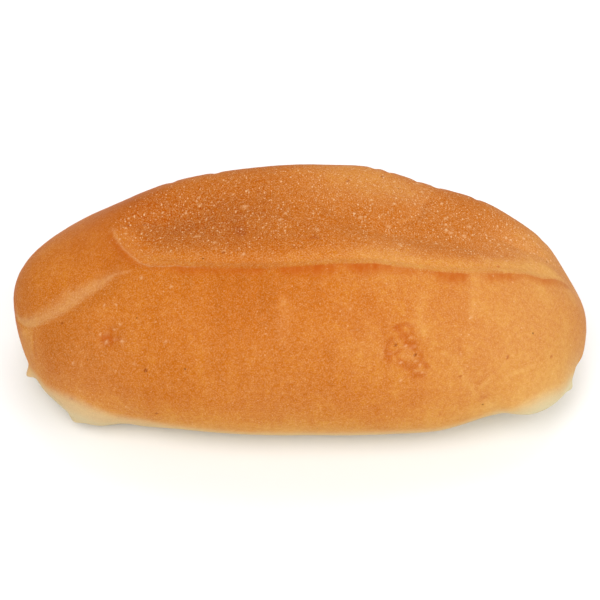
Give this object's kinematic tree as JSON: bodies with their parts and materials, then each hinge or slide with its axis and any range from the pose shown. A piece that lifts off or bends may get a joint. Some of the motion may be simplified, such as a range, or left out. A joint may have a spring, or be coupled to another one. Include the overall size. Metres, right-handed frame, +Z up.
{
  "type": "bread roll",
  "caption": "Long soft oval bread roll with a browned crust, opened along its top by one slash into a shallow valley between two lips, resting on a flat base.",
  "frame": {"origin": "middle of the flat base that the roll rests on, on the surface under it", "axes": "+X along the roll towards its lower, narrower end, +Y towards the back of the roll, on the far side of the slash, +Z up"},
  "size_m": [0.15, 0.0768, 0.0507],
  "materials": {
    "crust": "satin"
  },
  "bodies": {
    "root": {"roll": "crust"}
  },
  "joints": []
}
